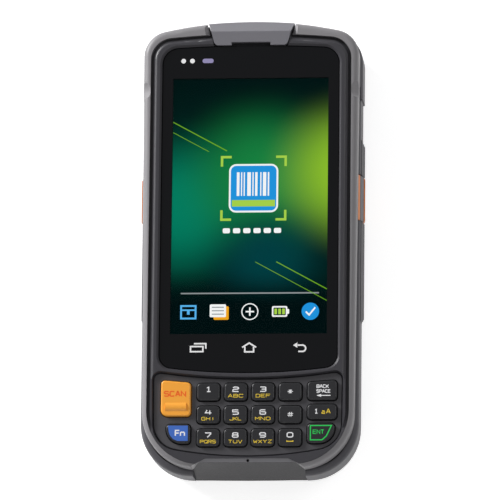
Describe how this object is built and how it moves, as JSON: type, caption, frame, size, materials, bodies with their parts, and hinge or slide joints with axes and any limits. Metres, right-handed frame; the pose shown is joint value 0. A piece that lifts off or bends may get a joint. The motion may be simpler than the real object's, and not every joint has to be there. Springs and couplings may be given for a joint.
{
  "type": "portable barcode data terminal",
  "caption": "Rugged hand-held data terminal with touch screen, numeric keypad, side scan triggers and a barcode scan window in the top end.",
  "frame": {"origin": "middle of the back face, on the surface that the terminal lies on", "axes": "+Z out of the screen, +Y towards the scanner end, +X to the right seen from the front"},
  "size_m": [0.0748, 0.1522, 0.0252],
  "materials": {
    "board_laminate": "solder mask",
    "bumper_rubber": "satin",
    "can_steel": "tin plated",
    "cap_plastic": "satin",
    "cell_plastic": "matt",
    "cover_plastic": "fine texture",
    "engine_plastic": "matt",
    "flash_acrylic": "frosted",
    "frame_magnesium": "cast",
    "gold_contact": "gold plated",
    "housing_plastic": "fine texture",
    "key_blue": "satin",
    "key_orange": "satin",
    "key_plastic": "satin",
    "lcd_panel": "gloss",
    "lens_glass": "polished",
    "mesh_steel": "woven",
    "panel_plastic": "fine texture",
    "pin_steel": "ground",
    "port_rubber": "matt",
    "rail_rubber": "satin",
    "scan_acrylic": "polished",
    "screen_glass": "polished",
    "screw_steel": "black oxide",
    "seal_rubber": "matt",
    "silicone": "matt",
    "speaker_plastic": "matt",
    "spring_steel": "bright",
    "switch_plastic": "matt",
    "tray_steel": "brushed",
    "trigger_plastic": "satin"
  },
  "bodies": {
    "case": {"battery_contacts": "gold_contact", "camera_module": "engine_plastic", "camera_window": "lens_glass", "case_screws": "screw_steel", "corner_pads": "bumper_rubber", "dock_contacts": "gold_contact", "earpiece_mesh": "mesh_steel", "earpiece_receiver": "speaker_plastic", "engine_bracket": "frame_magnesium", "flash_lens": "flash_acrylic", "front_bumper": "bumper_rubber", "front_housing": "housing_plastic", "grip_rails": "rail_rubber", "housing_seal": "seal_rubber", "keypad_board": "board_laminate", "keypad_panel": "panel_plastic", "lcd_module": "lcd_panel", "lcd_tray": "tray_steel", "loudspeaker": "speaker_plastic", "main_board": "board_laminate", "microphone": "switch_plastic", "midframe": "frame_magnesium", "port_door_pin": "pin_steel", "rear_shell": "housing_plastic", "rocker_pin": "pin_steel", "scan_engine": "engine_plastic", "scan_window": "scan_acrylic", "scanner_cap": "cap_plastic", "shield_cans": "can_steel", "silicone_keymat": "silicone", "snap_domes": "spring_steel", "touch_glass": "screen_glass", "trigger_switches": "switch_plastic", "usb_connector": "can_steel"},
    "side_trigger_left": {"side_trigger_left": "trigger_plastic"},
    "side_trigger_right": {"side_trigger_right": "trigger_plastic"},
    "power_button": {"power_button": "key_plastic"},
    "volume_rocker": {"volume_rocker": "key_plastic"},
    "port_door": {"port_door": "port_rubber"},
    "battery_module": {"battery_cover": "cover_plastic", "battery_pack": "cell_plastic"},
    "cover_screw_left": {"cover_screw_left": "screw_steel"},
    "cover_screw_right": {"cover_screw_right": "screw_steel"},
    "key_0": {"key_0": "key_plastic"},
    "key_1": {"key_1": "key_plastic"},
    "key_2": {"key_2": "key_plastic"},
    "key_3": {"key_3": "key_plastic"},
    "key_4": {"key_4": "key_plastic"},
    "key_5": {"key_5": "key_plastic"},
    "key_6": {"key_6": "key_plastic"},
    "key_7": {"key_7": "key_plastic"},
    "key_8": {"key_8": "key_plastic"},
    "key_9": {"key_9": "key_plastic"},
    "key_backspace": {"key_backspace": "key_plastic"},
    "key_enter": {"key_enter": "key_plastic"},
    "key_fn": {"key_fn": "key_blue"},
    "key_hash": {"key_hash": "key_plastic"},
    "key_scan": {"key_scan": "key_orange"},
    "key_shift": {"key_shift": "key_plastic"},
    "key_star": {"key_star": "key_plastic"}
  },
  "joints": [
    {"name": "key_0_press", "type": "slide", "parent": "case", "child": "key_0", "axis": [0, 0, -1], "range_m": [0, 0.0005], "stiffness_N_per_m": 1500},
    {"name": "key_1_press", "type": "slide", "parent": "case", "child": "key_1", "axis": [0, 0, -1], "range_m": [0, 0.0005], "stiffness_N_per_m": 1500},
    {"name": "key_2_press", "type": "slide", "parent": "case", "child": "key_2", "axis": [0, 0, -1], "range_m": [0, 0.0005], "stiffness_N_per_m": 1500},
    {"name": "key_3_press", "type": "slide", "parent": "case", "child": "key_3", "axis": [0, 0, -1], "range_m": [0, 0.0005], "stiffness_N_per_m": 1500},
    {"name": "key_4_press", "type": "slide", "parent": "case", "child": "key_4", "axis": [0, 0, -1], "range_m": [0, 0.0005], "stiffness_N_per_m": 1500},
    {"name": "key_5_press", "type": "slide", "parent": "case", "child": "key_5", "axis": [0, 0, -1], "range_m": [0, 0.0005], "stiffness_N_per_m": 1500},
    {"name": "key_6_press", "type": "slide", "parent": "case", "child": "key_6", "axis": [0, 0, -1], "range_m": [0, 0.0005], "stiffness_N_per_m": 1500},
    {"name": "key_7_press", "type": "slide", "parent": "case", "child": "key_7", "axis": [0, 0, -1], "range_m": [0, 0.0005], "stiffness_N_per_m": 1500},
    {"name": "key_8_press", "type": "slide", "parent": "case", "child": "key_8", "axis": [0, 0, -1], "range_m": [0, 0.0005], "stiffness_N_per_m": 1500},
    {"name": "key_9_press", "type": "slide", "parent": "case", "child": "key_9", "axis": [0, 0, -1], "range_m": [0, 0.0005], "stiffness_N_per_m": 1500},
    {"name": "key_backspace_press", "type": "slide", "parent": "case", "child": "key_backspace", "axis": [0, 0, -1], "range_m": [0, 0.0005], "stiffness_N_per_m": 1500},
    {"name": "key_enter_press", "type": "slide", "parent": "case", "child": "key_enter", "axis": [0, 0, -1], "range_m": [0, 0.0005], "stiffness_N_per_m": 1500},
    {"name": "key_fn_press", "type": "slide", "parent": "case", "child": "key_fn", "axis": [0, 0, -1], "range_m": [0, 0.0005], "stiffness_N_per_m": 1500},
    {"name": "key_hash_press", "type": "slide", "parent": "case", "child": "key_hash", "axis": [0, 0, -1], "range_m": [0, 0.0005], "stiffness_N_per_m": 1500},
    {"name": "key_scan_press", "type": "slide", "parent": "case", "child": "key_scan", "axis": [0, 0, -1], "range_m": [0, 0.0005], "stiffness_N_per_m": 1500},
    {"name": "key_shift_press", "type": "slide", "parent": "case", "child": "key_shift", "axis": [0, 0, -1], "range_m": [0, 0.0005], "stiffness_N_per_m": 1500},
    {"name": "key_star_press", "type": "slide", "parent": "case", "child": "key_star", "axis": [0, 0, -1], "range_m": [0, 0.0005], "stiffness_N_per_m": 1500},
    {"name": "side_trigger_left_press", "type": "slide", "parent": "case", "child": "side_trigger_left", "axis": [1, 0, 0], "range_m": [0, 0.0006], "stiffness_N_per_m": 2500},
    {"name": "side_trigger_right_press", "type": "slide", "parent": "case", "child": "side_trigger_right", "axis": [-1, 0, 0], "range_m": [0, 0.0006], "stiffness_N_per_m": 2500},
    {"name": "power_button_press", "type": "slide", "parent": "case", "child": "power_button", "axis": [0, -1, 0], "range_m": [0, 0.0006], "stiffness_N_per_m": 2000},
    {"name": "volume_rocker_tilt", "type": "hinge", "parent": "case", "child": "volume_rocker", "pos_m": [-0.03461, 0.04495, 0], "axis": [0, 0, 1], "range_deg": [-3, 3], "stiffness_Nm_per_rad": 0.05},
    {"name": "port_door_swing", "type": "hinge", "parent": "case", "child": "port_door", "pos_m": [-0.03537, -0.03845, 0.0069], "axis": [0, -1, 0], "range_deg": [0, 95]},
    {"name": "battery_module_lift", "type": "slide", "parent": "case", "child": "battery_module", "axis": [0, 0, -1], "range_m": [0, 0.014]},
    {"name": "cover_screw_left_turn", "type": "hinge", "parent": "battery_module", "child": "cover_screw_left", "pos_m": [-0.02, -0.05685, 0.004], "axis": [0, 0, 1], "continuous": true},
    {"name": "cover_screw_right_turn", "type": "hinge", "parent": "battery_module", "child": "cover_screw_right", "pos_m": [0.02, -0.05685, 0.004], "axis": [0, 0, 1], "continuous": true}
  ]
}
